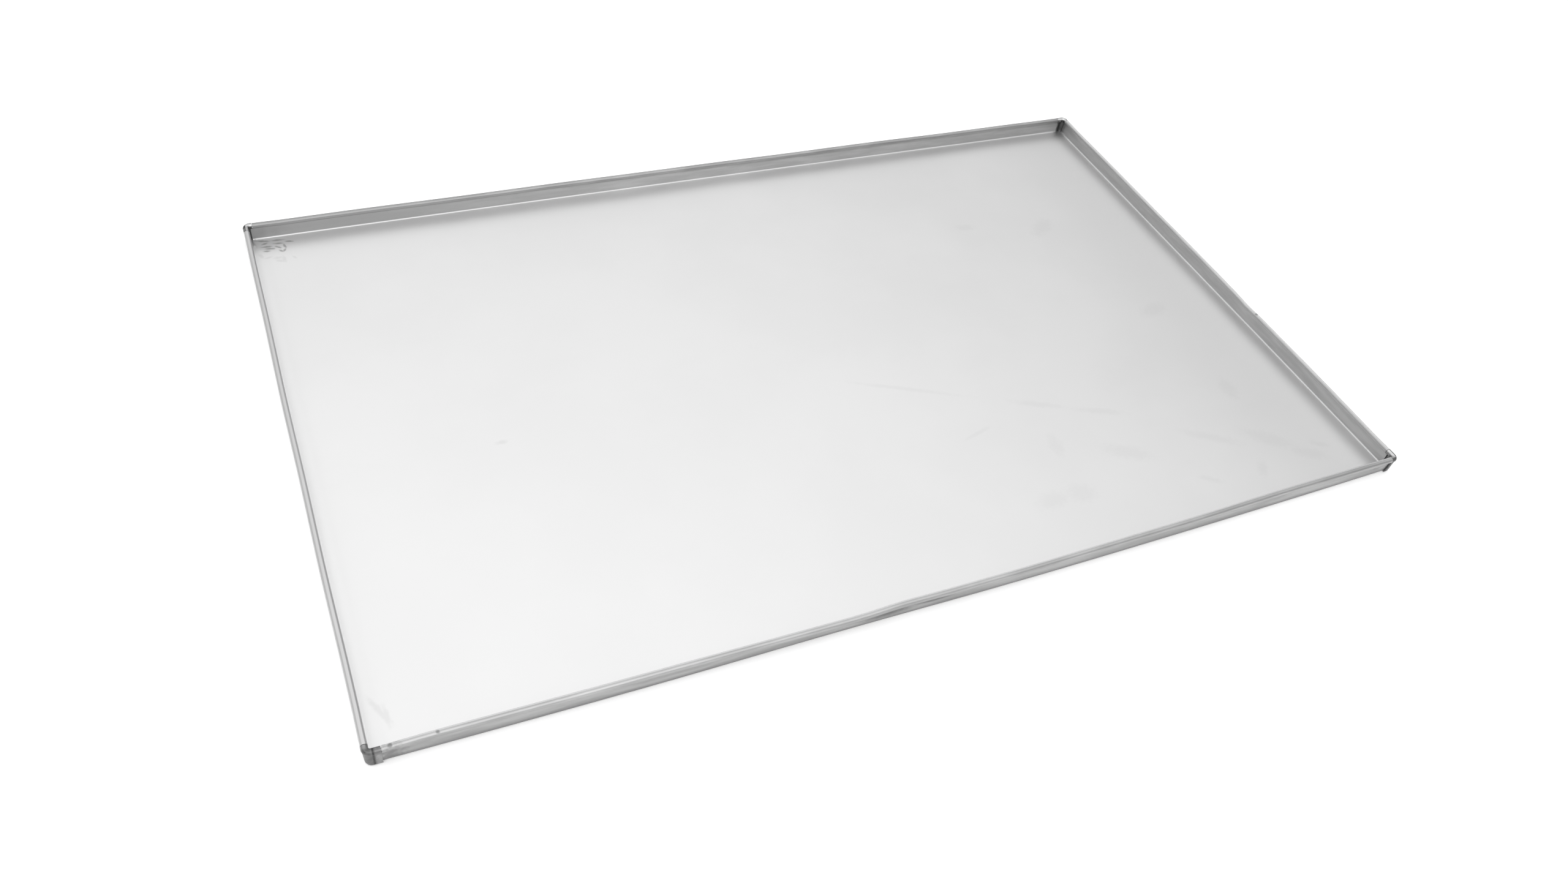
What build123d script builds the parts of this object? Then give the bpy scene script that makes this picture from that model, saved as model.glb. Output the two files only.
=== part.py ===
from build123d import *
from math import atan2, cos, degrees, hypot, radians, sin, sqrt, tan
import os

# Low-walled cookie sheet. One notched sheet-metal blank makes the floor, the four low walls and
# their curled top edges. A stiffening wire runs all the way round inside the curls, and a rounded
# corner piece closes the notch at each corner.
# Millimetres, +Z up. Origin: centre of the outline, on the surface the tray stands on.
# +X runs along the long side, and the front is at -Y.

# Overall sizes, measured over the curled edges
length = 600.0
width = 380.0
height = 12.0

# How far each edge bellies out between its two corner pieces
belly_front = 3.2
belly_rear = 0.6
belly_end = 0.5

# Sheet-metal blank
sheet = 0.8             # thickness
bend_inside = 1.2       # inside radius where a wall turns up from the floor
wall_lean = 2.0         # degrees that each wall leans out from upright
curl_gap = 0.25         # slit between the curl's free edge and the wall
crease = 0.4            # radius where the wall runs into the curl, inside the tray
flat_lip = 1.0          # flat strip of floor drawn with each wall

# Stiffening wire
wire_d = 1.6
wire_clear = 0.05       # between the wire and the curl around it, on the radius
wire_corner = 2.4       # radius of the wire's centre line at each corner
wire_joint_from_corner = 145.0  # on the right side, from the front corner
wire_joint_gap = 0.5    # between the wire's two cut ends

# Corner pieces. Each has a short arm and a long arm, in the same order round the tray.
corner_sheet = 0.8
short_arm = 1.2         # straight part past the corner's bend
long_arm = 4.0
lap = 1.0               # how far a wall reaches in behind an arm
lap_clear = 0.1         # between an arm and the wall behind it
seam = 0.15             # between a corner piece's curl and its neighbours
foot_clear = 0.3        # from the standing surface up to a corner piece's lower edge

# Worked out from the sizes above
hole_r = wire_d / 2 + wire_clear
curl_r = hole_r + sheet
corner_curl_r = hole_r + corner_sheet
rim_r = max(curl_r, corner_curl_r)
wire_z = height - rim_r
bend_outside = bend_inside + sheet
web_top = wire_z - rim_r - seam
half_turn = radians(90 - wall_lean) / 2


def leaning(offset, z):
    """Distance out from the rim line of a plane parallel to the wall's middle, at height z."""
    lean = radians(wall_lean)
    return offset / cos(lean) - (wire_z - z) * tan(lean)


bend_start = leaning(sheet / 2, 0) - bend_outside * tan(half_turn)
flat_start = bend_start - flat_lip


class Run:
    """A stretch of the rim line: a circular arc, followed counter-clockwise seen from above."""

    def __init__(self, centre, radius, start, end):
        self.centre = centre
        self.radius = radius
        self.start = start
        self.end = end

    @property
    def length(self):
        return self.radius * (self.end - self.start)

    def part(self, first, last):
        """The stretch between two distances from this run's start."""
        begin = self.start + first / self.radius
        finish = self.start + last / self.radius
        return Run(self.centre, self.radius, begin, finish)

    def point(self, angle, out):
        reach = self.radius + out
        x = self.centre[0] + reach * cos(angle)
        y = self.centre[1] + reach * sin(angle)
        return (x, y)

    def line(self, out):
        """This run as an arc, moved outwards by a distance."""
        middle = (self.start + self.end) / 2
        ends = self.point(self.start, out), self.point(self.end, out)
        return ThreePointArc(ends[0], self.point(middle, out), ends[1])

    def across(self, angle):
        """A plane square to this run, with its X axis outwards and its Y axis up."""
        out = Vector(cos(angle), sin(angle), 0)
        back = Vector(sin(angle), -cos(angle), 0)
        return Plane(origin=(*self.centre, 0), x_dir=out, z_dir=back) * Pos(self.radius, 0)

    def carry(self, section):
        """A solid: a section drawn as (distance out, height), turned from start to end."""
        turn = degrees(self.end - self.start)
        placed = self.across(self.start) * section
        return revolve(placed, Axis((*self.centre, 0), (0, 0, 1)), turn)

    def arms(self, section, before, after):
        """Two solids: the same section carried straight on, back from the start and past the end."""
        back = extrude(self.across(self.start) * section, before)
        ahead = extrude(self.across(self.end) * section, -after)
        return back, ahead

    def strip(self, inner, outer):
        """A flat face between two distances out from this run."""
        near, far = self.line(inner), self.line(outer)
        return make_face([near, far, Line(near @ 0, far @ 0), Line(near @ 1, far @ 1)])


def joined(solids):
    """One solid of several that meet face to face, each with the one before it."""
    whole = solids[0]
    for solid in solids[1:]:
        whole = whole.fuse(solid)
    return whole


def side_arc(first, last, belly):
    """Centre and radius of the shallow arc from one corner to the next, bellied outwards."""
    chord = hypot(last[0] - first[0], last[1] - first[1])
    radius = (chord ** 2 / 4 + belly ** 2) / (2 * belly)
    inward = (-(last[1] - first[1]) / chord, (last[0] - first[0]) / chord)
    depth = radius - belly
    x = (first[0] + last[0]) / 2 + inward[0] * depth
    y = (first[1] + last[1]) / 2 + inward[1] * depth
    return (x, y), radius


def corner_arc(before, after, corner):
    """Centre of the small arc that is tangent to the two side arcs that meet at a corner."""
    (one, one_r), (two, two_r) = before, after
    reach_one = one_r - wire_corner
    reach_two = two_r - wire_corner
    apart = hypot(two[0] - one[0], two[1] - one[1])
    along = (reach_one ** 2 - reach_two ** 2 + apart ** 2) / (2 * apart)
    aside = sqrt(reach_one ** 2 - along ** 2)
    unit = ((two[0] - one[0]) / apart, (two[1] - one[1]) / apart)
    foot = (one[0] + unit[0] * along, one[1] + unit[1] * along)
    choices = []
    for way in (-1, 1):
        choices.append((foot[0] - way * unit[1] * aside, foot[1] + way * unit[0] * aside))
    return min(choices, key=lambda p: hypot(p[0] - corner[0], p[1] - corner[1]))


def rim_line():
    """The wire's centre line as four side runs and four corner runs, all tangent."""
    x = length / 2 - rim_r - belly_end
    front = -width / 2 + rim_r + belly_front
    rear = width / 2 - rim_r - belly_rear
    corners = [(-x, front), (x, front), (x, rear), (-x, rear)]
    bellies = [belly_front, belly_end, belly_rear, belly_end]
    arcs = [side_arc(corners[i], corners[(i + 1) % 4], bellies[i]) for i in range(4)]
    centres = [corner_arc(arcs[i - 1], arcs[i], corners[i]) for i in range(4)]

    def heading(origin, point):
        return atan2(point[1] - origin[1], point[0] - origin[0])

    def run(centre, radius, start, end):
        full_turn = radians(360)
        return Run(centre, radius, start, start + (end - start) % full_turn)

    sides = []
    bends = []
    for i, (centre, radius) in enumerate(arcs):
        start = heading(centre, centres[i])
        end = heading(centre, centres[(i + 1) % 4])
        sides.append(run(centre, radius, start, end))
        previous = arcs[i - 1][0]
        bends.append(run(centres[i], wire_corner, heading(previous, centres[i]), start))
    return sides, bends


def nearest(shape, point):
    return shape.vertices().sort_by_distance(point)[0]


def wall_section():
    """Floor edge, bend and wall, up to just below the curls of the corner pieces."""
    outer_foot = (leaning(sheet / 2, 0), 0)
    inner_foot = (leaning(-sheet / 2, sheet), sheet)
    outer_top = (leaning(sheet / 2, web_top), web_top)
    inner_top = (leaning(-sheet / 2, web_top), web_top)
    points = [(flat_start, 0), outer_foot, outer_top, inner_top, inner_foot, (flat_start, sheet)]
    section = make_face(Polyline(*points, close=True))
    section = fillet(nearest(section, outer_foot), bend_outside)
    return fillet(nearest(section, inner_foot), bend_inside)


def curl_section():
    """Neck of the wall and the open curl on it, which the wire lies in."""
    neck = [
        (leaning(-sheet / 2, web_top), web_top),
        (leaning(sheet / 2, web_top), web_top),
        (leaning(sheet / 2, wire_z), wire_z),
        (leaning(-sheet / 2, wire_z), wire_z),
    ]
    section = make_face(Polyline(*neck, close=True)) + Pos(0, wire_z) * Circle(curl_r) + creased()
    section -= Pos(0, wire_z) * Circle(hole_r)
    return section - slit(sheet / 2, sheet / 2 + curl_gap)


def creased():
    """The rounded corner inside the tray where the wall runs into the curl."""
    lean = radians(wall_lean)
    aside = sheet / 2 + crease
    down = sqrt((curl_r + crease) ** 2 - aside ** 2)
    share = curl_r / (curl_r + crease)

    def along_wall(out, drop):
        return (out * cos(lean) - drop * sin(lean), wire_z - out * sin(lean) - drop * cos(lean))

    centre = along_wall(-aside, down)
    points = [along_wall(-sheet / 2, down), centre, along_wall(-aside * share, down * share)]
    fill = make_face(Polyline(*points, along_wall(0, 0), along_wall(0, down), close=True))
    return fill - Pos(*centre) * Circle(crease)


def slit(inner, outer):
    """The gap that a curl's free edge leaves beside the metal it comes back to."""
    low = wire_z - 2 * rim_r
    points = [
        (leaning(inner, low), low),
        (leaning(outer, low), low),
        (leaning(outer, wire_z), wire_z),
        (leaning(inner, wire_z), wire_z),
    ]
    return make_face(Polyline(*points, close=True))


def corner_section():
    """A corner piece: its curl, its upright web outside the wall, and its foot round the bend."""
    inside = sheet / 2 + lap_clear
    outside = inside + corner_sheet
    low = -lap_clear
    lowest = low - corner_sheet
    outer_foot = (leaning(outside, lowest), lowest)
    inner_foot = (leaning(inside, low), low)
    start = flat_start - bend_outside
    points = [
        (start, lowest),
        outer_foot,
        (leaning(outside, wire_z), wire_z),
        (leaning(inside, wire_z), wire_z),
        inner_foot,
        (start, low),
    ]
    web = make_face(Polyline(*points, close=True))
    web = fillet(nearest(web, outer_foot), bend_outside + lap_clear + corner_sheet)
    web = fillet(nearest(web, inner_foot), bend_outside + lap_clear)
    above = Pos(0, foot_clear) * Rectangle(4 * height, height, align=(Align.CENTER, Align.MIN))
    section = (web & above) + Pos(0, wire_z) * Circle(corner_curl_r)
    section -= Pos(0, wire_z) * Circle(hole_r)
    return section - slit(inside - curl_gap, inside)


def pan_sheet(sides, bends):
    """Floor, four walls and four curls, all of one sheet."""
    # At a corner the floor stops just short of the inside of the corner piece's lower edge
    foot_r = bend_outside + lap_clear
    reach = sqrt(foot_r ** 2 - (bend_outside - foot_clear) ** 2)
    floor_edge = bend_start + reach - lap_clear
    floor = make_face([run.line(floor_edge) for run in sides + bends])
    walls = []
    for side in sides:
        behind = side.part(long_arm - lap, side.length - short_arm + lap)
        between = side.part(long_arm + seam, side.length - short_arm - seam)
        floor -= behind.strip(flat_start, curl_r)
        first_lap = side.part(long_arm - lap, long_arm + seam)
        last_lap = side.part(side.length - short_arm - seam, side.length - short_arm + lap)
        laps = [first_lap.carry(wall_section()), last_lap.carry(wall_section())]
        walls.append(joined([between.carry(wall_section() + curl_section()), *laps]))
    return joined([extrude(floor, sheet), *walls])


def rim_wire(sides, bends):
    """The wire, all the way round from one side of its joint to the other."""
    front, right, rear, left = sides
    front_left, front_right, rear_right, rear_left = bends
    joint = wire_joint_from_corner
    first = right.part(joint + wire_joint_gap / 2, right.length)
    last = right.part(0, joint - wire_joint_gap / 2)
    runs = [first, rear_right, rear, rear_left, left, front_left, front, front_right, last]
    section = Pos(0, wire_z) * Circle(wire_d / 2)
    return joined([run.carry(section) for run in runs])


def corner_piece(bend):
    """Bend, short arm and long arm, all of one strip."""
    section = corner_section()
    return joined([bend.carry(section), *bend.arms(section, short_arm, long_arm)])


sides, bends = rim_line()
nodes = {"pan_sheet": pan_sheet(sides, bends), "rim_wire": rim_wire(sides, bends)}
places = ["front_left", "front_right", "rear_right", "rear_left"]
for i, place in enumerate(places):
    nodes["corner_" + place] = corner_piece(bends[i])

os.makedirs("parts", exist_ok=True)
for name, solid in nodes.items():
    export_step(solid, "parts/" + name + ".step")
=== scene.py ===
import math

import bmesh
import bpy
import numpy as np
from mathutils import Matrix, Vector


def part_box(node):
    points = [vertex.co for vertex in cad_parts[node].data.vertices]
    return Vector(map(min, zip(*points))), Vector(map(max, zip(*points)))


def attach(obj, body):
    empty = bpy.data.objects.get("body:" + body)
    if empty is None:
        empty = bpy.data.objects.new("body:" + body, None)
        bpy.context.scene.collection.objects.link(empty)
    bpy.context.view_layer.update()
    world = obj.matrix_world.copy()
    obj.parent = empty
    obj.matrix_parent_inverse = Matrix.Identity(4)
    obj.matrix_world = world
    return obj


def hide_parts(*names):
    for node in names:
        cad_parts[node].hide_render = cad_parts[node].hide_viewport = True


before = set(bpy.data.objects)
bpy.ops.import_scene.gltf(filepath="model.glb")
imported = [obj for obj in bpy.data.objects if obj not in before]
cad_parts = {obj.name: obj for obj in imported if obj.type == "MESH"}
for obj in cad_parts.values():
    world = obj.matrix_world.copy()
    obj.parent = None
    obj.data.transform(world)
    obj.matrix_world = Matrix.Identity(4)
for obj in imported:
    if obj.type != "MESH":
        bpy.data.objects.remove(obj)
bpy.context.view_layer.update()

# A low-walled cookie sheet of pale satin metal, with a wire in its curled rim and a darker
# corner piece at each corner. Metres, in the tray's own frame: +X along the long side, front at
# -Y, and z = 0 on the surface it stands on. Sides and corners are counted counter-clockwise from
# the front side and the front left corner, and each side starts at the corner of its own number.
mm = 0.001
FRONT_SIDE, RIGHT_SIDE, REAR_SIDE, LEFT_SIDE = range(4)
CORNERS = ["front_left", "front_right", "rear_right", "rear_left"]

# Sizes of the metal work
SHEET = 0.8 * mm
BEND_INSIDE = 1.2 * mm          # inside radius where a wall turns up from the floor
LEAN = math.radians(2.0)        # of each wall, out from upright
CURL_R = 1.65 * mm              # outside of the curled edge
HOLE_R = 0.85 * mm              # inside of the curled edge, round the wire
WIRE_R = 0.8 * mm
CURL_GAP = 0.25 * mm            # between the curl's free edge and the wall
CREASE_R = 0.4 * mm             # where the wall runs into the curl, inside the tray
CORNER_R = 2.4 * mm             # of the wire's centre line
HALF_TURN = math.pi / 4 - 0.01  # of a corner: under 45 degrees, because the sides bow out
SHORT_ARM = 1.2 * mm            # of a corner piece, on the side that ends at it
LONG_ARM = 4.0 * mm             # of a corner piece, on the side that starts at it
LAP = 1.0 * mm                  # of a wall behind a corner piece's arm
SEAM = 0.15 * mm                # between the curls of a wall and of a corner piece
WIRE_JOINT = 145 * mm           # from the front right corner to the wire's joint
WIRE_JOINT_GAP = 0.5 * mm
BELLY = [3.2 * mm, 0.5 * mm, 0.6 * mm, 0.5 * mm]    # of each side, out at its middle

# How dull the metal of each side is, with painted light and shade laid over it: 1 is the walls'
# own dull finish and 0 is as the floor, while values below 0 are painted light, values above 1 are
# painted shade, and the differences between the sides are painted light and shade too. The four
# values are for the wall's inside, the curl's inside, the curl's top and the whole outside.
DULLNESS_AND_SHADE = [
    (-0.3, -1.0, 0.8, 1.0),
    (0.75, 0.7, -0.6, 1.0),
    (0.8, 1.25, 1.1, 1.0),
    (-1.0, -0.4, 0.2, 0.6),
]

# The tray's outline, from the frame
pan_low, pan_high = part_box("pan_sheet")
HEIGHT = pan_high[2]
WIRE_Z = HEIGHT - CURL_R
WALL_TOP = WIRE_Z - CURL_R - SEAM
X = pan_high[0] - CURL_R - BELLY[RIGHT_SIDE]
FRONT = pan_low[1] + CURL_R + BELLY[FRONT_SIDE]
REAR = pan_high[1] - CURL_R - BELLY[REAR_SIDE]
SHARP = np.array([(-X, FRONT), (X, FRONT), (X, REAR), (-X, REAR)])
ARC_REACH = CORNER_R * math.tan(HALF_TURN)    # from a sharp corner to its arc's ends


def leaning(offset, z):
    """Distance out from the rim line of a plane parallel to a wall's middle, at height z."""
    return offset / np.cos(LEAN) - (WIRE_Z - z) * np.tan(LEAN)


# Where the floor meets a wall, as distances out from the rim line
BEND_START = leaning(SHEET / 2, 0) - (BEND_INSIDE + SHEET) * math.tan((math.pi / 2 - LEAN) / 2)
FLAT_START = BEND_START - 1.0 * mm      # of the strip of floor that is made with the wall
FLOOR_EDGE = BEND_START + 1.13 * mm     # of the floor, where no wall stands on it
FLOOR_INSET = FLAT_START - 0.4 * mm     # of the floor's next line of points


# ---- Wear: how the used tray departs from a new one --------------------------------------------

FOOT_IN = 0.9 * mm              # how far the foot of the front wall is knocked in
FOOT_IN_AT = 225 * mm           # where, along the front side
FOOT_IN_WIDTH = 75 * mm

# Dents in the rim, in millimetres: the side, the dent's middle along it, its width, and how far
# the rim has moved out and up. A middle below 0 counts back from the side's far end.
DENTS = [
    (FRONT_SIDE, 257, 15, -0.5, 0),
    (FRONT_SIDE, 225, 18, 0.1, 0),
    (FRONT_SIDE, 240, 20, 0, -0.45),
    (FRONT_SIDE, 70, 60, -0.5, 0),
    (FRONT_SIDE, -80, 70, -0.6, 0),
    (RIGHT_SIDE, 143, 9, -0.35, 0),
    (RIGHT_SIDE, 143, 6, 0, -0.25),
]
SOUND_END = 7 * mm              # of each side by its corners, without dents or waves
SOUND_FADE = 14 * mm            # over which they come in
FLOOR_WAVE = 0.09 * mm
FLOOR_FLAT = 3 * mm             # of the floor by the walls, without waves
FLOOR_FADE = 60 * mm            # over which they come in


def hump(x, middle, width):
    """A smooth hump of height 1: the bell curve exp(-((x - middle) / width)^2)."""
    return np.exp(-((x - middle) / width) ** 2)


def ripple(x, depth, length, shift):
    """A slight wave that never rises above 0: -depth (1 + sin(x / length + shift))."""
    return -depth * (1 + np.sin(x / length + shift))


def foot_in(side, distance):
    """How far the foot of a wall has been pushed in: one long hump on the front side."""
    if side != FRONT_SIDE:
        return np.zeros_like(distance)
    return FOOT_IN * hump(distance, FOOT_IN_AT, FOOT_IN_WIDTH)


def worn(side, distance, z):
    """How far the wall and its curl have moved out and up, in two arrays of distance by z.

    Humps and ripples along the side, times the height over the floor to the power 1.5: nothing at
    the bend, all at the curl. The rim line follows the foot, so the foot's push is taken back."""
    distance = np.asarray(distance)[:, None]
    height = np.clip((np.asarray(z)[None, :] - SHEET) / (WALL_TOP - SHEET), 0, 1) ** 1.5
    length = chord(side)
    to_corner = np.minimum(distance, length - distance)
    share = np.clip((to_corner - SOUND_END) / SOUND_FADE, 0, 1)
    out = foot_in(side, distance) + ripple(distance, 0.12 * mm, 19 * mm, side)
    up = ripple(distance, 0.05 * mm, 27 * mm, 2 * side)
    for dented_side, middle, width, push_out, push_up in DENTS:
        if dented_side == side:
            dent = hump(distance, middle * mm % length, width * mm)
            out += push_out * mm * dent
            up += push_up * mm * dent
    return share * out * height, share * up * height


def floor_rise(x, y):
    """The floor's slight waves: two crossed sine waves, fading out towards the floor's edges."""
    inner_x = np.clip((X - FLOOR_FLAT - np.abs(x)) / FLOOR_FADE, 0, 1)
    inner_y = np.clip((REAR - FLOOR_FLAT - np.abs(y)) / FLOOR_FADE, 0, 1)
    wave = 2 + np.sin(x / (53 * mm) + y / (81 * mm)) + np.sin(y / (47 * mm) - x / (120 * mm) + 1)
    return FLOOR_WAVE * wave * inner_x * inner_y


# ---- Rim line ----------------------------------------------------------------------------------

def chord(side):
    return np.linalg.norm(SHARP[(side + 1) % 4] - SHARP[side])


def rim(side, distance):
    """Points and outward directions on a side's rim line, at distances from its first corner.

    The line is a parabola over the chord between two corners, highest by the side's belly, less
    what the foot of the wall has been pushed in."""
    start, end = SHARP[side], SHARP[(side + 1) % 4]
    along = (end - start) / chord(side)
    out = np.array([along[1], -along[0]])
    share = np.asarray(distance)[:, None] / chord(side)
    points = start + share * (end - start) + 4 * BELLY[side] * share * (1 - share) * out
    heading = along + 4 * BELLY[side] / chord(side) * (1 - 2 * share) * out
    heading /= np.linalg.norm(heading, axis=1)[:, None]
    way = np.stack([heading[:, 1], -heading[:, 0]], axis=1)
    return points - way * foot_in(side, np.asarray(distance))[:, None], way


def stretch(side, first, last, step=4 * mm):
    """Evenly spaced distances along a side, between two distances in from its corner arcs."""
    start = ARC_REACH + first
    end = chord(side) - ARC_REACH - last
    return np.linspace(start, end, max(2, int((end - start) / step) + 1))


def bend(corner, count=9):
    """Points on the rim line's arc round a corner, and their directions out."""
    before = (corner - 1) % 4
    start, start_way = rim(before, [chord(before) - ARC_REACH])
    end, end_way = rim(corner, [ARC_REACH])
    centre = (start[0] - CORNER_R * start_way[0] + end[0] - CORNER_R * end_way[0]) / 2
    first = math.atan2(start_way[0][1], start_way[0][0])
    turn = (math.atan2(end_way[0][1], end_way[0][0]) - first) % (2 * math.pi)
    angle = first + turn * np.linspace(0, 1, count)
    way = np.stack([np.cos(angle), np.sin(angle)], axis=1)
    return centre + way * CORNER_R, way


# ---- Meshes ------------------------------------------------------------------------------------

def grid_faces(rows, columns, first=0, closed=False):
    """The four-sided faces of a grid of points, row after row; closed joins the last row on."""
    last = rows if closed else rows - 1
    row, column = np.meshgrid(np.arange(last), np.arange(columns - 1), indexing="ij")
    here = row * columns + column
    ahead = (row + 1) % rows * columns + column
    return first + np.stack([here, ahead, ahead + 1, here + 1], axis=-1).reshape(-1, 4)


class Skin:
    """Points, their dullness with its painted light and shade, and their faces, gathered from several
    grids for one closed mesh.
    """

    def __init__(self):
        self.points = []
        self.dullness_and_shade = []
        self.faces = []
        self.count = 0

    def grid(self, points, dullness_and_shade=0.0, closed=False):
        """Adds a grid of shape (rows, columns, 3) and gives the number of its first point."""
        rows, columns = points.shape[:2]
        self.faces += grid_faces(rows, columns, self.count, closed).tolist()
        return self.add(points.reshape(-1, 3), np.broadcast_to(dullness_and_shade, (rows, columns)).ravel())

    def add(self, points, dullness_and_shade):
        first = self.count
        self.points.append(points)
        self.dullness_and_shade.append(dullness_and_shade)
        self.count += len(points)
        return first

    def piece(self, name, weld=0.002 * mm, sharp=40):
        """The welded object, smooth except at edges sharper than so many degrees."""
        mesh = bpy.data.meshes.new(name)
        mesh.from_pydata(np.concatenate(self.points), [], self.faces)
        dullness_and_shade = mesh.attributes.new("dullness_and_shade", "FLOAT", "POINT")
        dullness_and_shade.data.foreach_set("value", np.concatenate(self.dullness_and_shade).astype(np.float32))
        shape = bmesh.new()
        shape.from_mesh(mesh)
        bmesh.ops.remove_doubles(shape, verts=shape.verts, dist=weld)
        bmesh.ops.recalc_face_normals(shape, faces=shape.faces)
        shape.to_mesh(mesh)
        shape.free()
        mesh.polygons.foreach_set("use_smooth", np.ones(len(mesh.polygons), dtype=bool))
        mesh.set_sharp_from_angle(angle=math.radians(sharp))
        piece = bpy.data.objects.new(name, mesh)
        bpy.context.scene.collection.objects.link(piece)
        return piece


def arc(centre, radius, start, end, count):
    """Points on a circle from one angle to another, in degrees, as (distance out, height)."""
    angle = np.radians(np.linspace(start, end, count))
    return np.stack([centre[0] + radius * np.cos(angle), centre[1] + radius * np.sin(angle)], 1)


def wall_foot(lip):
    """The bend from the floor's top up to the wall's inside, and the one below it, from outside."""
    centre = (leaning(-SHEET / 2 - BEND_INSIDE, SHEET + BEND_INSIDE), SHEET + BEND_INSIDE)
    lean = math.degrees(LEAN)
    inside = arc(centre, BEND_INSIDE, -90, -lean, count=8)
    outside = arc(centre, BEND_INSIDE + SHEET, -lean, -90, count=9)
    if lip:
        inside = np.vstack([[(FLAT_START, SHEET)], inside])
        outside = np.vstack([outside, [(FLAT_START, 0)]])
    return inside, outside


def wall_face(offset, bottom, top, count):
    """Points up (or down) one face of the wall."""
    z = np.linspace(bottom, top, count)
    return np.stack([leaning(offset, z), z], axis=1)


def curled_section():
    """One wall from the floor's top edge up its inside, over the open curl and back underneath."""
    lean = math.degrees(LEAN)
    inside, outside = wall_foot(lip=True)
    hub = (0, WIRE_Z)
    aside = SHEET / 2 + CREASE_R
    down = math.sqrt((CURL_R + CREASE_R) ** 2 - aside ** 2)
    crease = (-aside * math.cos(LEAN) - down * math.sin(LEAN),
              WIRE_Z + aside * math.sin(LEAN) - down * math.cos(LEAN))
    to_hub = math.degrees(math.atan2(down, aside)) - lean
    neck = arc(crease, CREASE_R, -lean, to_hub, count=5)
    free_edge = SHEET / 2 + CURL_GAP
    over_end = -lean - math.degrees(math.acos(free_edge / CURL_R))
    over = arc(hub, CURL_R, to_hub + 180, over_end, count=30)
    hole_start = -lean - math.degrees(math.acos(free_edge / HOLE_R))
    hole_end = 360 - lean - math.degrees(math.acos(SHEET / 2 / HOLE_R))
    round_wire = arc(hub, HOLE_R, hole_start, hole_end, count=18)
    inner_wall = wall_face(-SHEET / 2, inside[-1][1], neck[0][1], count=7)[1:-1]
    outer_wall = wall_face(SHEET / 2, round_wire[-1][1], outside[0][1], count=9)[1:-1]
    return np.vstack([inside, inner_wall, neck, over[1:], round_wire, outer_wall, outside])


def lap_section():
    """A wall's flat end behind a corner piece: no curl and no strip of floor. A closed loop."""
    inside, outside = wall_foot(lip=False)
    inner = wall_face(-SHEET / 2, inside[-1][1], WALL_TOP, count=5)[1:]
    outer = wall_face(SHEET / 2, WALL_TOP, outside[0][1], count=5)[:-1]
    return np.vstack([inside, inner, outer, outside])


def carried(side, distance, section):
    """A section carried along a side: rim point + out * direction out, at height z, then worn."""
    points, way = rim(side, distance)
    out, up = worn(side, distance, section[:, 1])
    out = out + section[None, :, 0]
    flat = points[:, None, :] + way[:, None, :] * out[:, :, None]
    z = section[None, :, 1] + up
    return np.concatenate([flat, z[:, :, None]], axis=2)


def smooth_step(value, low, high):
    """0 below low, 1 above high, and 3t^2 - 2t^3 in between."""
    share = np.clip((value - low) / (high - low), 0, 1)
    return share * share * (3 - 2 * share)


def section_dullness_and_shade(section, side):
    """How dull each point of a section is, with painted light and shade, blended between its side's four
    values.

    It is 0 on the floor and most of the bend. Points run up the inside first, and those past the
    section's highest point belong to the outside."""
    out, z = section[:, 0], section[:, 1]
    inside, curl_inside, curl_top, outside = DULLNESS_AND_SHADE[side]
    past_bend = smooth_step(out, BEND_START + 0.4 * mm, BEND_START + 1.3 * mm)
    on_curl = smooth_step(z, WALL_TOP - 0.6 * mm, WALL_TOP + 0.4 * mm)
    on_top = smooth_step(out, -0.7 * mm, 0.1 * mm) * smooth_step(z, WIRE_Z, WIRE_Z + 0.6 * mm)
    below_top = smooth_step(HEIGHT - z, 0.4 * mm, 1.4 * mm)
    value = inside + (curl_inside - inside) * on_curl
    value += (curl_top - value) * on_top
    top = z.argmax()
    value[top:] = curl_top + (outside - curl_top) * below_top[top:]
    return value * np.maximum(past_bend, on_curl)


def add_wall(skin, side, rows=3, overlap=0.3 * mm):
    """A wall with its curl, and a lap at each end that reaches past the seam to the corner piece.

    Each lap is a few rows of its own closed section, and overlaps the curled wall a little."""
    section = curled_section()
    distance = stretch(side, LONG_ARM + SEAM, SHORT_ARM + SEAM)
    first = skin.grid(carried(side, distance, section), section_dullness_and_shade(section, side))
    size = len(section)
    last = first + (len(distance) - 1) * size
    skin.faces += [list(range(first, first + size)), list(range(last, last + size))]

    loop = lap_section()
    behind, ahead = distance[0] - SEAM - LAP, distance[-1] + SEAM + LAP
    for span in [(behind, distance[0] + overlap), (distance[-1] - overlap, ahead)]:
        points = carried(side, np.linspace(*span, rows), loop).transpose(1, 0, 2)
        start = skin.grid(points, section_dullness_and_shade(loop, side)[:, None], closed=True)
        steps = start + np.arange(len(loop)) * rows
        skin.faces += [steps.tolist(), (steps + rows - 1).tolist()]
    return distance


def floor_outline(distances):
    """The floor's edge all round, the line just inside it, and where no wall stands on it.

    Along a wall the edge is the start of the wall's strip; round a corner it reaches further out.
    The inner line keeps the same count of points and stops at its own corners."""
    line, way, reach, bare = [], [], [], []
    for side in range(4):
        near, near_way = rim(side, [ARC_REACH])
        wall, wall_way = rim(side, distances[side])
        tip, tip_way = bend((side + 1) % 4)
        line += [near, wall[:1], wall, wall[-1:], tip[:-1]]
        way += [near_way, wall_way[:1], wall_way, wall_way[-1:], tip_way[:-1]]
        reach += [FLOOR_EDGE] * 2 + [FLAT_START] * len(wall) + [FLOOR_EDGE] * len(tip)
        bare += [True] * 2 + [False] * (len(wall) - 1) + [True] * (len(tip) + 1)
    line, way = np.vstack(line), np.vstack(way)
    edge = line + way * np.array(reach)[:, None]
    inner = np.clip(line + way * FLOOR_INSET, SHARP[0] - FLOOR_INSET, SHARP[2] + FLOOR_INSET)
    return edge, inner, np.array(bare)


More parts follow.
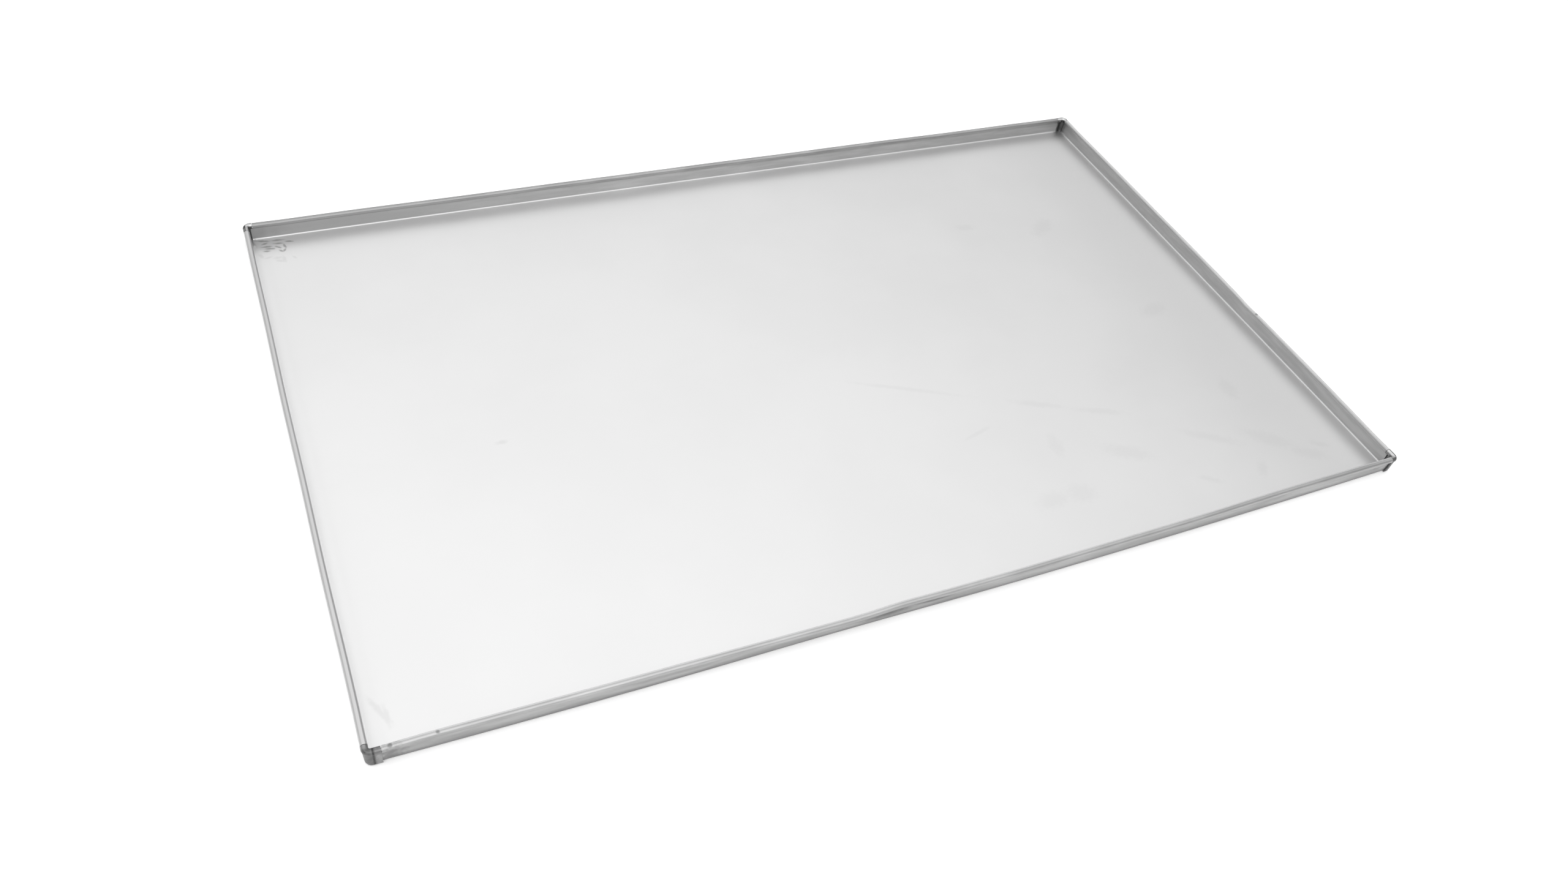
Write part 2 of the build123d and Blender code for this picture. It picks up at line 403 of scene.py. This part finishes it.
def add_floor(skin, distances, rings=36):
    """The floor's two faces, as rings of points that shrink to its middle, and its bare edge."""
    edge, inner, bare = floor_outline(distances)
    share = np.linspace(1, 0, rings, endpoint=False)
    flat = np.concatenate([edge[None], inner[None] * share[:, None, None]])
    rise = floor_rise(flat[..., 0], flat[..., 1])
    rise[0] = 0
    outermost = []
    for z in (0, SHEET):
        points = np.concatenate([flat, (rise + z)[..., None]], axis=2)
        first = skin.grid(points.transpose(1, 0, 2), closed=True)
        middle = skin.add(np.array([[0, 0, z + floor_rise(0, 0)]]), np.zeros(1))
        outermost.append(first + np.arange(len(edge)) * len(flat))
        innermost = outermost[-1] + len(flat) - 1
        fan = [innermost, np.roll(innermost, -1), np.full_like(innermost, middle)]
        skin.faces += np.stack(fan, axis=1).tolist()
    lower, upper = outermost
    edge_faces = np.stack([lower, np.roll(lower, -1), np.roll(upper, -1), upper], axis=1)
    skin.faces += edge_faces[bare].tolist()


def make_pan():
    """Floor, four walls and four curls, all of one sheet."""
    skin = Skin()
    distances = [add_wall(skin, side) for side in range(4)]
    add_floor(skin, distances)
    return skin.piece("tray_sheet")


def make_wire(flats=16, clear=1 * mm):
    """The wire in the curls: a circle carried along all four sides and the arcs between them.

    It starts past its joint on the right side, goes once round and ends at the joint."""
    line, way, height = [], [], []

    def along(side, distance):
        points, out_way = rim(side, distance)
        out, up = worn(side, distance, [WIRE_Z])
        line.append(points + out_way * out)
        way.append(out_way)
        height.append(WIRE_Z + up[:, 0])

    def round_corner(corner):
        points, out_way = bend(corner)
        line.append(points[1:-1])
        way.append(out_way[1:-1])
        height.append(np.full(len(points) - 2, WIRE_Z))

    right = stretch(RIGHT_SIDE, 0, 0)
    joint = WIRE_JOINT + ARC_REACH
    along(RIGHT_SIDE, np.append(joint + WIRE_JOINT_GAP / 2, right[right > joint + clear]))
    for side in (REAR_SIDE, LEFT_SIDE, FRONT_SIDE):
        round_corner(side)
        along(side, stretch(side, 0, 0))
    round_corner(RIGHT_SIDE)
    along(RIGHT_SIDE, np.append(right[right < joint - clear], joint - WIRE_JOINT_GAP / 2))

    line, way, height = np.vstack(line), np.vstack(way), np.concatenate(height)
    circle = arc((0, 0), WIRE_R, 0, 360, flats + 1)[:-1]
    flat = line[:, None, :] + way[:, None, :] * circle[None, :, :1]
    z = height[:, None] + circle[None, :, 1]
    points = np.concatenate([flat, z[..., None]], axis=2)
    skin = Skin()
    start = skin.grid(points.transpose(1, 0, 2), closed=True)
    ends = start + np.arange(flats) * len(line)
    skin.faces += [ends.tolist(), (ends + len(line) - 1).tolist()]
    return skin.piece("stiffening_wire")


# ---- Metals ------------------------------------------------------------------------------------

class Finish:
    """A metal under construction: its node tree and a few short ways to add to it."""

    def __init__(self, name):
        self.material = bpy.data.materials.new(name)
        self.material.use_nodes = True
        self.nodes = self.material.node_tree.nodes
        self.links = self.material.node_tree.links
        self.shader = self.nodes["Principled BSDF"]
        self.shader.inputs["Metallic"].default_value = 1.0
        self.place = self.nodes.new("ShaderNodeTexCoord").outputs["Object"]

    def node(self, kind, inputs=(), **settings):
        """A new node, with a value or another node's output on each input that is named."""
        node = self.nodes.new("ShaderNode" + kind)
        for name, value in settings.items():
            setattr(node, name, value)
        for key, value in dict(inputs).items():
            if isinstance(value, bpy.types.NodeSocket):
                self.links.new(value, node.inputs[key])
            else:
                node.inputs[key].default_value = value
        return node

    def xyz(self):
        return self.node("SeparateXYZ", {0: self.place}).outputs

    def math(self, operation, first, second=0.0):
        return self.node("Math", {0: first, 1: second}, operation=operation).outputs[0]

    def times(self, first, second):
        return self.math("MULTIPLY", first, second)

    def between(self, value, low, high, to_low=0.0, to_high=1.0):
        """A smooth step from one value at low to another at high; low may be above high."""
        inputs = {"Value": value, "From Min": low, "From Max": high, "To Min": to_low, "To Max": to_high}
        return self.node("MapRange", inputs, interpolation_type="SMOOTHSTEP").outputs["Result"]

    def moved(self, at=(0, 0, 0), turn=0.0, scale=(1, 1, 1)):
        """Object coordinates seen from a place on the tray, turned about z and then scaled."""
        shift = {"Vector": self.place, "Location": at, "Rotation": (0, 0, turn)}
        shifted = self.node("Mapping", shift, vector_type="TEXTURE").outputs[0]
        return self.node("Mapping", {"Vector": shifted, "Scale": scale}).outputs[0]

    def cloud(self, scale, detail=3.0, roughness=0.5, place=None):
        inputs = {"Vector": place or self.place, "Scale": scale, "Detail": detail, "Roughness": roughness}
        return self.node("TexNoise", inputs).outputs["Fac"]

    def spot(self, at, size, soft=1.0, rough=0.0, turn=0.0):
        """1 in the middle of an oval of the given half-sizes, falling to 0 past its edge."""
        place = self.moved(at, turn, (1 / size[0], 1 / size[1], 1 / size[2]))
        reach = self.node("VectorMath", {0: place}, operation="LENGTH").outputs["Value"]
        if rough:
            ragged = self.times(self.cloud(400.0, 4.0), rough)
            reach = self.math("ADD", reach, ragged)
        return self.between(reach, 1.0 + rough / 2, 1.0 + rough / 2 - soft)

    def stroke(self, start, end, half_width=1.1):
        """A ragged rubbed line on the tray's floor, with its ends and width in millimetres."""
        start, end, half_width = np.array(start) * mm, np.array(end) * mm, half_width * mm
        middle, span = (start + end) / 2, end - start
        half_length = np.hypot(*span) / 2 + half_width
        turn = math.atan2(span[1], span[0])
        return self.spot((*middle, SHEET), (half_length, half_width, 3 * mm), 0.8, 0.9, turn)

    def highest(self, masks):
        total = masks[0]
        for mask in masks[1:]:
            total = self.math("MAXIMUM", total, mask)
        return total

    def mixed(self, share, first, second):
        """A colour between two others. The colour sockets of its node are 6, 7 and output 2."""
        return self.node("Mix", {0: share, 6: first, 7: second}, data_type="RGBA").outputs[2]

    def use(self, name, value):
        self.links.new(value, self.shader.inputs[name])

    def relief(self, height, strength, distance):
        bump_node = self.node("Bump", {"Height": height, "Strength": strength, "Distance": distance})
        self.use("Normal", bump_node.outputs["Normal"])


def grey(level):
    return (level, level, level, 1.0)


# Strokes on the floor, in millimetres from the tray's middle: both ends, and half the width where
# it isn't the usual one
SCUFFS = [
    ((-291.1, 180.5), (-287.8, 181.6)),
    ((-291.1, 178.1), (-284.9, 177.8)),
    ((-290.3, 176.1), (-284.2, 175.2)),
    ((-291.0, 173.8), (-287.2, 173.5)),
    ((-284.9, 180.3), (-278.7, 179.4)),
    ((-278.8, 178.8), (-278.0, 174.3)),
    ((-278.0, 174.3), (-279.9, 171.1)),
    ((-279.9, 171.1), (-282.0, 173.4)),
    ((-283.8, 177.6), (-280.7, 175.0)),
    ((-294.7, 185.1), (-286.2, 183.1)),
    ((-285.1, 183.4), (-277.5, 182.8)),
    ((-277.4, 180.9), (-272.6, 179.8)),
]
FAINT_SCUFFS = [
    ((-291.0, 177.0), (-286.0, 175.5), 4.0),
    ((-293.4, 171.3), (-291.8, 167.9), 1.6),
    ((-285.8, 165.9), (-281.7, 166.1), 1.7),
    ((-284.8, 163.8), (-280.2, 161.5), 1.7),
    ((-280.8, 167.1), (-280.0, 160.8), 1.7),
    ((-275.4, 165.8), (-273.7, 163.5), 1.2),
    ((-291.6, 166.7), (-286.6, 167.9), 1.2),
    ((-292.8, -150.7), (-283.6, -170.7), 2.2),
    ((-286.5, -157.0), (-285.5, -171.0), 2.0),
    ((-199.7, -18.1), (-193.7, -18.1), 2.0),
]
SMUDGES = [
    ((205.5, 74.3), (222.1, 85.5), 8.0),
    ((232.4, -20.4), (248.0, -17.2), 8.0),
    ((243.7, -92.2), (242.0, -103.2), 8.0),
    ((-3.0, -21.1), (80.9, -60.7), 2.4),
    ((94.4, -67.2), (130.7, -83.4), 3.5),
    ((130.1, -84.3), (166.0, -98.3), 3.5),
    ((184.2, -118.0), (222.4, -141.8), 4.8),
    ((227.7, -132.2), (250.9, -151.2), 8.0),
    ((248.4, -154.1), (266.4, -164.6), 6.4),
    ((264.9, -152.1), (274.6, -158.1), 3.2),
    ((51.6, -89.9), (78.9, -82.5), 1.9),
    ((106.6, -102.4), (104.1, -114.4), 6.4),
    ((131.9, -118.5), (157.6, -132.6), 8.0),
    ((95.8, -143.7), (102.8, -145.9), 9.6),
    ((74.1, -145.2), (87.0, -144.4), 8.0),
    ((151.1, 93.9), (163.4, 91.0), 4.8),
    ((222.2, -156.8), (216.3, -165.2), 4.8),
    ((175.3, -154.5), (188.9, -163.5), 3.2),
]

# Spots on the walls and the rim: the middle, the half-sizes, how soft and how ragged
# Painted shade on the front wall where its rim is dented.
PRESSED_SHADE = [
    ((-47.4 * mm, pan_low[1], 6.2 * mm), (22 * mm, 8 * mm, 4.0 * mm), 0.9, 0.3),
    ((-22.4 * mm, pan_low[1], 7.4 * mm), (18 * mm, 8 * mm, 2.4 * mm), 0.9, 0.3),
]
# A darker patch on the front wall beside the front left corner.
DARK_PATCH = [
    ((-288 * mm, FRONT - 1 * mm, 6 * mm), (8 * mm, 6 * mm, 10 * mm), 1.0, 1.6),
]
NICKS = [
    ((-287.8 * mm, FRONT - 0.5 * mm, HEIGHT), (1.6 * mm, 2.2 * mm, 1.0 * mm), 0.6, 0.8),
    ((-267.6 * mm, FRONT - 0.9 * mm, HEIGHT), (1.3 * mm, 2.0 * mm, 0.8 * mm), 0.6, 0.8),
    ((X, -51.6 * mm, HEIGHT), (2.0 * mm, 1.4 * mm, 1.2 * mm), 0.6, 0.6),
    ((285.3 * mm, FRONT - 2 * mm, 6 * mm), (8 * mm, 4 * mm, 1.6 * mm), 1.0, 0.9),
]


def marks(metal):
    """Masks of all marks on the sheet, and of the painted shade by the front rim's dents, each with its
    share and its grey, in the order they lie.
    """
    kinds = [
        (metal.stroke, SMUDGES, 0.07, 0.36),
        (metal.stroke, FAINT_SCUFFS, 0.16, 0.36),
        (metal.stroke, SCUFFS, 0.60, 0.22),
        (metal.spot, PRESSED_SHADE, 0.85, 0.12),
        (metal.spot, DARK_PATCH, 0.60, 0.15),
        (metal.spot, NICKS, 0.65, 0.12),
    ]
    for shape, rows, share, level in kinds:
        yield metal.highest([shape(*row) for row in rows]), share, level


def clean_tone(metal, clouds, upper):
    """The sheet's grey without its marks: an even floor, walls and rim by their dullness, and painted
    light and shade.
    """
    x, _, height = metal.xyz()
    dullness_and_shade = metal.node("Attribute", attribute_name="dullness_and_shade").outputs["Fac"]
    tone = metal.mixed(metal.between(clouds, 0.35, 0.65), grey(0.735), grey(0.755))
    # Painted shade: the floor is darker towards the right end.
    right_end_shade = metal.between(x, 190 * mm, 290 * mm)
    tone = metal.mixed(right_end_shade, tone, grey(0.71))
    # Painted light: a lighter strip of floor along the foot of the left wall.
    left_end = metal.between(x, 9 * mm - X, 1 * mm - X)
    left_strip_painted_light = metal.times(left_end, metal.between(height, 2 * mm, 1 * mm))
    tone = metal.mixed(metal.times(left_strip_painted_light, upper), tone, grey(0.82))
    rim_top = metal.between(height, HEIGHT - 1.6 * mm, HEIGHT - 0.6 * mm)
    tone = metal.mixed(rim_top, tone, grey(0.60))

    # Painted light: parts with values below 0 are painted near white.
    tone = metal.mixed(metal.between(dullness_and_shade, 0.0, -1.0), tone, grey(0.95))
    streaks = metal.cloud(30.0, 4.0, 0.6, metal.moved(scale=(1.0, 1.0, 9.0)))
    dull_tone = metal.mixed(metal.between(streaks, 0.35, 0.65), grey(0.35), grey(0.44))
    tone = metal.mixed(dullness_and_shade, tone, dull_tone)
    # Painted shade: the walls darken towards the rear left corner.
    rear_left_end = metal.spot((-X, REAR, HEIGHT / 2), (300 * mm, 10 * mm, 20 * mm))
    rear_left_painted_shade = metal.times(rear_left_end, metal.between(dullness_and_shade, 0.3, 0.7))
    tone = metal.mixed(rear_left_painted_shade, tone, grey(0.33))
    # Painted shade: values above 1, on the rear curl's inside and top, are painted much darker.
    tone = metal.mixed(metal.between(dullness_and_shade, 1.0, 2.0), tone, grey(0.14))
    # Painted shade: the dull outside walls darken towards their foot, by the surface the tray stands on.
    low_down = metal.between(height, 5.0 * mm, 0.8 * mm)
    outside_foot_shade = metal.times(metal.between(dullness_and_shade, 0.85, 0.97), low_down)
    return metal.mixed(outside_foot_shade, tone, grey(0.22))


def satin_sheet():
    """Pale rolled sheet with a soft even sheen, scuffed and smudged on its upper side, with painted light
    and shade.
    """
    metal = Finish("satin tray sheet")
    _, _, height = metal.xyz()
    upper = metal.between(height, 0.45 * mm, 0.7 * mm)
    clouds = metal.cloud(9.0, 4.0, 0.55)
    tone = clean_tone(metal, clouds, upper)
    for mask, share, level in marks(metal):
        shown = metal.times(mask, metal.times(upper, share))
        tone = metal.mixed(shown, tone, grey(level))
    metal.use("Base Color", tone)
    metal.use("Roughness", metal.between(clouds, 0.3, 0.7, 0.44, 0.46))
    grain = metal.cloud(60.0, 2.0, 0.5, metal.moved(scale=(0.06, 1.0, 1.0)))
    metal.relief(grain, 0.06, 0.4 * mm)
    return metal.material


def dull_corner_metal():
    """The corner pieces: dark and dull round the bend, cleaner along the arms, with painted shade towards
    the rear and a painted highlight on top.

    How far in from the sharp corner a point is, along the side where it is further in, tells the
    bend from the arms. The front left piece has been knocked: no painted highlight on top, and a dark
    seam."""
    metal = Finish("dull corner metal")
    x, y, height = metal.xyz()
    middle = (FRONT + REAR) / 2
    end_reach = metal.math("ABSOLUTE", x)
    side_reach = metal.math("ABSOLUTE", metal.math("SUBTRACT", y, middle))
    end_in = metal.math("SUBTRACT", X, end_reach)
    side_in = metal.math("SUBTRACT", REAR - middle, side_reach)
    inward = metal.math("MAXIMUM", end_in, side_in)

    clouds = metal.cloud(260.0, 4.0, 0.6)
    mottle = metal.between(clouds, 0.35, 0.7)
    tone = metal.mixed(mottle, grey(0.12), grey(0.20))
    # Painted shade: the corner pieces are darker towards the rear.
    to_rear_shade = metal.between(y, -100 * mm, 100 * mm)
    tone = metal.mixed(to_rear_shade, tone, grey(0.09))
    arm = metal.between(inward, 3.0 * mm, 4.2 * mm)
    tone = metal.mixed(arm, tone, metal.mixed(mottle, grey(0.18), grey(0.34)))

    knocked = metal.spot((*SHARP[0], HEIGHT / 2), (15 * mm, 15 * mm, 20 * mm), soft=0.3)
    seam_end = metal.between(inward, 3.6 * mm, 3.0 * mm)
    seam = metal.times(metal.between(inward, 2.2 * mm, 2.7 * mm), seam_end)
    tone = metal.mixed(metal.times(seam, knocked), tone, grey(0.07))
    left_arm = metal.between(side_in, 0.5 * mm, 2.5 * mm)
    tone = metal.mixed(metal.times(left_arm, knocked), tone, grey(0.30))

    # Painted highlight along the top of each corner piece's curl, left off the knocked front left piece.
    top_highlight = metal.between(height, HEIGHT - 1.3 * mm, HEIGHT - 0.5 * mm)
    for reach, line in ((end_reach, X), (side_reach, REAR - middle)):
        top_highlight = metal.times(top_highlight, metal.between(reach, line + 0.4 * mm, line - 0.4 * mm))
    top_highlight = metal.times(top_highlight, metal.math("SUBTRACT", 1.0, knocked))
    metal.use("Base Color", metal.mixed(top_highlight, tone, grey(0.58)))
    metal.use("Roughness", metal.between(clouds, 0.3, 0.7, 0.36, 0.52))
    metal.relief(clouds, 0.35, 0.5 * mm)
    return metal.material


def wire_steel():
    metal = Finish("drawn wire steel")
    metal.use("Base Color", metal.mixed(metal.cloud(500.0), grey(0.40), grey(0.55)))
    metal.use("Roughness", metal.between(metal.cloud(300.0), 0.3, 0.7, 0.3, 0.45))
    return metal.material


# ---- The tray ----------------------------------------------------------------------------------

def dress(piece, material):
    piece.data.materials.clear()
    piece.data.materials.append(material)
    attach(piece, "root")


pan = make_pan()
dress(pan, satin_sheet())
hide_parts("pan_sheet")

wire = make_wire()
dress(wire, wire_steel())
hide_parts("rim_wire")

corner_metal = dull_corner_metal()
for corner in CORNERS:
    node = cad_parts["corner_" + corner]
    for slot in node.material_slots:
        slot.material = corner_metal


# ---- Studio ------------------------------------------------------------------------------------

def make_table(half=15.0, drop=0.03 * mm):
    """The pale floor that the tray stands on: one flat square, a hair below the tray."""
    mesh = bpy.data.meshes.new("studio_floor")
    corners = [(-half, -half, -drop), (half, -half, -drop), (half, half, -drop), (-half, half, -drop)]
    mesh.from_pydata(corners, [], [(0, 1, 2, 3)])
    floor = bpy.data.objects.new("studio_floor", mesh)
    bpy.context.scene.collection.objects.link(floor)
    material = bpy.data.materials.new("white studio floor")
    material.use_nodes = True
    shader = material.node_tree.nodes["Principled BSDF"]
    shader.inputs["Base Color"].default_value = grey(0.95)
    shader.inputs["Roughness"].default_value = 0.9
    shader.inputs["Specular IOR Level"].default_value = 0.0
    shader.inputs["Emission Color"].default_value = grey(1.0)
    shader.inputs["Emission Strength"].default_value = 0.12
    mesh.materials.append(material)


def make_light():
    """Soft light from all round: brightest high up, and less straight overhead and to the right."""
    world = bpy.data.worlds.new("soft studio")
    bpy.context.scene.world = world
    world.use_nodes = True
    nodes, links = world.node_tree.nodes, world.node_tree.links
    parts = nodes.new("ShaderNodeSeparateXYZ")
    links.new(nodes.new("ShaderNodeTexCoord").outputs["Generated"], parts.inputs[0])

    def graded(axis, low, high, at_low, at_high):
        """Strength that changes evenly between two heights of a direction along one axis."""
        grade = nodes.new("ShaderNodeMapRange")
        links.new(parts.outputs[axis], grade.inputs["Value"])
        ends = {"From Min": low, "From Max": high, "To Min": at_low, "To Max": at_high}
        for name, value in ends.items():
            grade.inputs[name].default_value = value
        return grade.outputs["Result"]

    total = graded("Z", 0.41, 0.74, 0.58, 1.46)
    overhead = graded("Z", 0.88, 0.98, 0.0, -0.48)
    to_the_right = graded("X", 0.42, 0.85, 0.0, -0.42)
    for fall in (overhead, to_the_right):
        both = nodes.new("ShaderNodeMath")
        both.operation = "ADD"
        links.new(total, both.inputs[0])
        links.new(fall, both.inputs[1])
        total = both.outputs[0]
    links.new(total, nodes["Background"].inputs["Strength"])
    nodes["Background"].inputs["Color"].default_value = grey(1.0)
    bpy.context.scene.view_settings.view_transform = "Standard"

    panel = bpy.data.lights.new("soft_panel", "AREA")
    panel.shape = "SQUARE"
    panel.size = 4.0
    panel.energy = 40.0
    lamp = bpy.data.objects.new("soft_panel", panel)
    lamp.location = (-0.8, -1.9, 2.0)
    lamp.rotation_euler = (math.radians(42), 0, math.radians(-22))
    lamp.visible_camera = False
    bpy.context.scene.collection.objects.link(lamp)


def make_camera():
    """The photograph's viewpoint: above the front left corner, looking down across the tray."""
    data = bpy.data.cameras.new("photo_camera")
    data.lens = 28.358
    data.sensor_width = 36.0
    data.sensor_fit = "HORIZONTAL"
    camera = bpy.data.objects.new("photo_camera", data)
    camera.location = (-0.300975, -0.472929, 0.496021)
    camera.rotation_euler = [math.radians(angle) for angle in (43.8676, -7.7011, -23.5467)]
    bpy.context.scene.collection.objects.link(camera)
    bpy.context.scene.camera = camera


make_table()
make_light()
make_camera()
